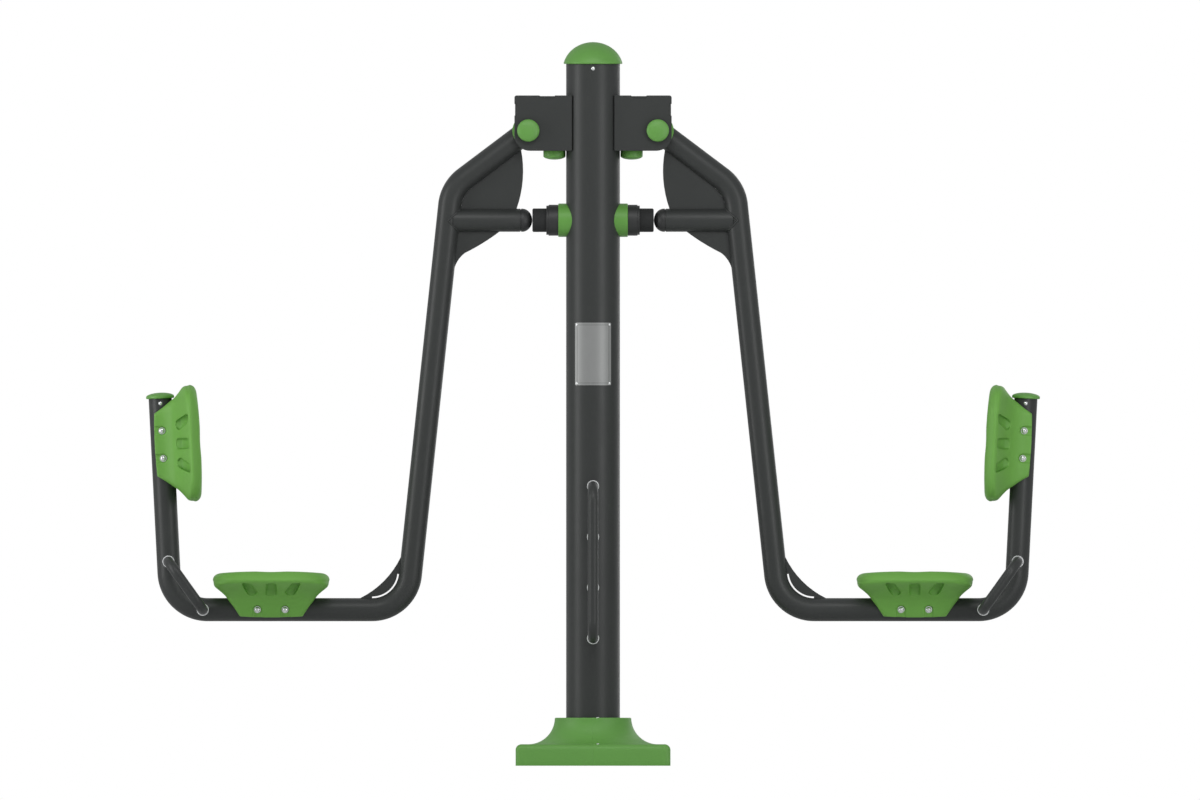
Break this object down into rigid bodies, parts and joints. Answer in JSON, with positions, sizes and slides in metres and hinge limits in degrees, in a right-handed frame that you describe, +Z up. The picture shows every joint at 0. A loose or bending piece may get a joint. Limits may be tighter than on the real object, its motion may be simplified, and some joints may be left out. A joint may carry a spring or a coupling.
{
  "type": "outdoor fitness station",
  "caption": "Double seated leg press for a park: swinging tube arms with seats hang from bearings beside a round post and rest on rubber buffers.",
  "frame": {"origin": "middle of the base on the ground, on the post's axis", "axes": "+Z up the post, +X towards the right-hand seat, -Y the front with the plate"},
  "size_m": [2.326, 0.5372, 1.883],
  "materials": {
    "powder_coat": "anthracite powder coat, satin",
    "green_coat": "green powder coat, satin",
    "green_cover": "moulded green, satin",
    "green_cap": "moulded green, satin",
    "green_seat": "moulded green, fine grain",
    "black_plastic": "moulded black",
    "rubber": "moulded rubber",
    "plate_metal": "bare anodised plate",
    "bright_steel": "stainless"
  },
  "bodies": {
    "post": {"post_tube": "powder_coat", "base_flange": "powder_coat", "base_cover_left": "green_cover", "base_cover_right": "green_cover", "post_cap": "green_cap", "cover_screws": "bright_steel", "info_plate": "plate_metal", "plate_rivets": "bright_steel", "foot_bars": "powder_coat", "foot_bar_collars": "bright_steel", "left_bracket_cheeks": "powder_coat", "left_bracket_hood": "powder_coat", "left_bracket_floor": "powder_coat", "left_axle": "bright_steel", "left_bolt_caps": "green_cap", "left_bearing_inner_rings": "bright_steel", "left_end_stop_rubber": "rubber", "left_buffer_studs": "bright_steel", "left_buffer_base": "green_coat", "left_buffer_cup": "black_plastic", "left_buffer_rubber": "rubber", "right_bracket_cheeks": "powder_coat", "right_bracket_hood": "powder_coat", "right_bracket_floor": "powder_coat", "right_axle": "bright_steel", "right_bolt_caps": "green_cap", "right_bearing_inner_rings": "bright_steel", "right_end_stop_rubber": "rubber", "right_buffer_studs": "bright_steel", "right_buffer_base": "green_coat", "right_buffer_cup": "black_plastic", "right_buffer_rubber": "rubber"},
    "left_arm": {"left_arm_tube": "powder_coat", "left_pivot_housing": "powder_coat", "left_bearing_outer_rings": "bright_steel", "left_housing_covers": "green_coat", "left_gussets": "powder_coat", "left_stub_tube": "powder_coat", "left_stub_plug": "black_plastic", "left_seat": "green_seat", "left_backrest": "green_seat", "left_seat_bolts": "bright_steel", "left_tube_cap": "green_cap", "left_tube_cap_screw": "bright_steel", "left_grips": "powder_coat", "left_grip_collars": "bright_steel"},
    "right_arm": {"right_arm_tube": "powder_coat", "right_pivot_housing": "powder_coat", "right_bearing_outer_rings": "bright_steel", "right_housing_covers": "green_coat", "right_gussets": "powder_coat", "right_stub_tube": "powder_coat", "right_stub_plug": "black_plastic", "right_seat": "green_seat", "right_backrest": "green_seat", "right_seat_bolts": "bright_steel", "right_tube_cap": "green_cap", "right_tube_cap_screw": "bright_steel", "right_grips": "powder_coat", "right_grip_collars": "bright_steel"}
  },
  "joints": [
    {"name": "left_swing", "type": "hinge", "parent": "post", "child": "left_arm", "pos_m": [-0.1685, 0, 1.653], "axis": [0, 1, 0], "range_deg": [0, 20]},
    {"name": "right_swing", "type": "hinge", "parent": "post", "child": "right_arm", "pos_m": [0.1685, 0, 1.653], "axis": [0, -1, 0], "range_deg": [0, 20]}
  ]
}
